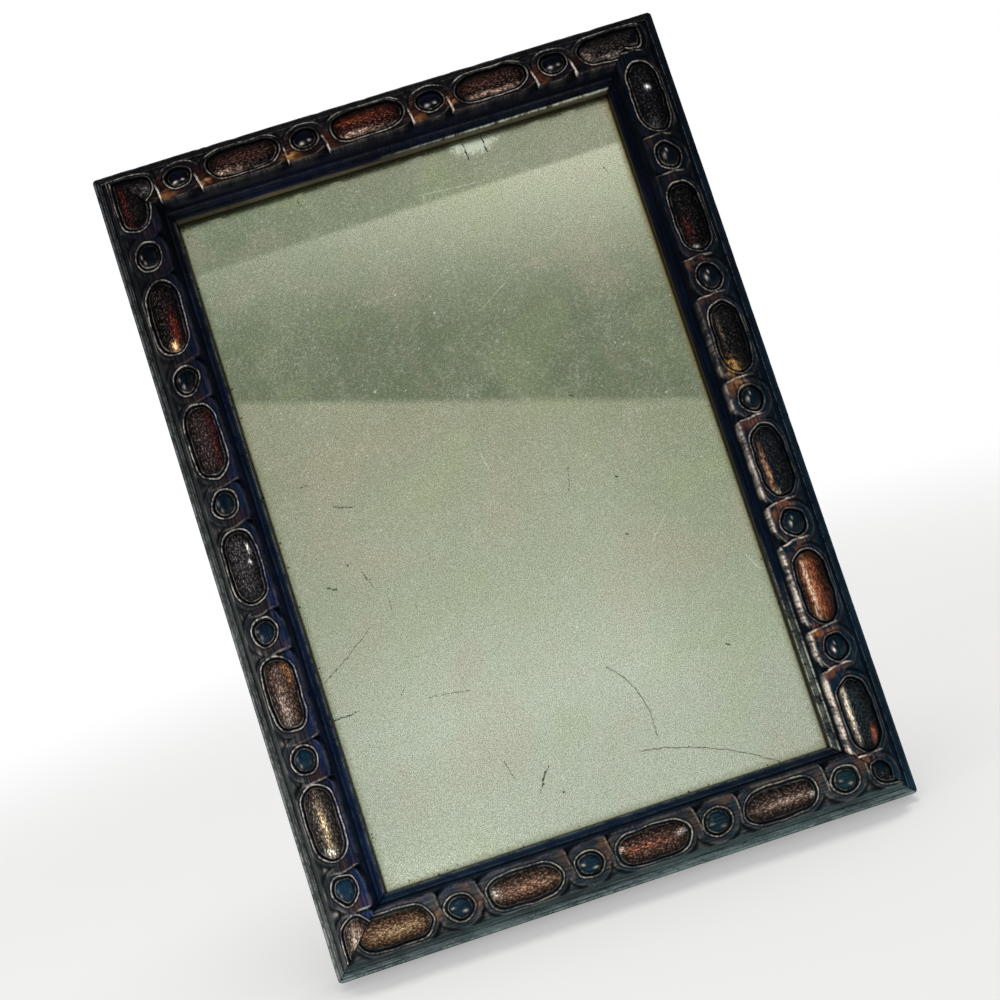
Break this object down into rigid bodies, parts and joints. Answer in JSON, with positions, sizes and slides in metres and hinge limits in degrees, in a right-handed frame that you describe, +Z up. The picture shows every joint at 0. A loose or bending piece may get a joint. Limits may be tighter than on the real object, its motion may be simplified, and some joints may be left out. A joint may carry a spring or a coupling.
{
  "type": "standing mirror",
  "caption": "Small table mirror in a carved, mitred wooden frame with silvered glass, a backboard and a hinged easel strut behind.",
  "frame": {"origin": "centre of the whole object's footprint, on the table it stands on", "axes": "+Z up, +X to the right as seen from the front, +Y back towards the strut; the glass looks along -Y and up by the lean"},
  "size_m": [0.19, 0.104, 0.2615],
  "materials": {
    "carved_wood": "ebonised and waxed, worn to red-brown mahogany on the carving",
    "iron_brads": "dark, lightly rusted cut iron",
    "old_glass": "slightly green, polished",
    "silvering": "aged silvering, hazy, with losses",
    "red_lead_paint": "dull red-brown protective paint",
    "packing_paper": "browned rag paper",
    "pine_board": "unfinished aged softwood",
    "iron_sprigs": "dark cut iron",
    "hinge_brass": "aged, dull polish",
    "hinge_steel": "plain drawn wire",
    "screw_brass": "aged, dull polish",
    "strut_wood": "dark stained mahogany, thin wax",
    "foot_leather": "thin worn hide"
  },
  "bodies": {
    "frame": {"top_rail": "carved_wood", "bottom_rail": "carved_wood", "left_stile": "carved_wood", "right_stile": "carved_wood", "corner_brads": "iron_brads", "mirror_glass": "old_glass", "silver_coat": "silvering", "backing_paint": "red_lead_paint", "packing_paper": "packing_paper", "backboard": "pine_board", "glazing_sprigs": "iron_sprigs", "hinge_fixed_leaf": "hinge_brass", "hinge_pin": "hinge_steel", "fixed_leaf_screws": "screw_brass"},
    "easel": {"strut": "strut_wood", "strut_foot_pad": "foot_leather", "hinge_moving_leaf": "hinge_brass", "moving_leaf_screws": "screw_brass"}
  },
  "joints": [
    {"name": "strut_hinge", "type": "hinge", "parent": "frame", "child": "easel", "pos_m": [0, 0.01187, 0.16364], "axis": [1, 0, 0], "range_deg": [-26.5, 0]}
  ]
}
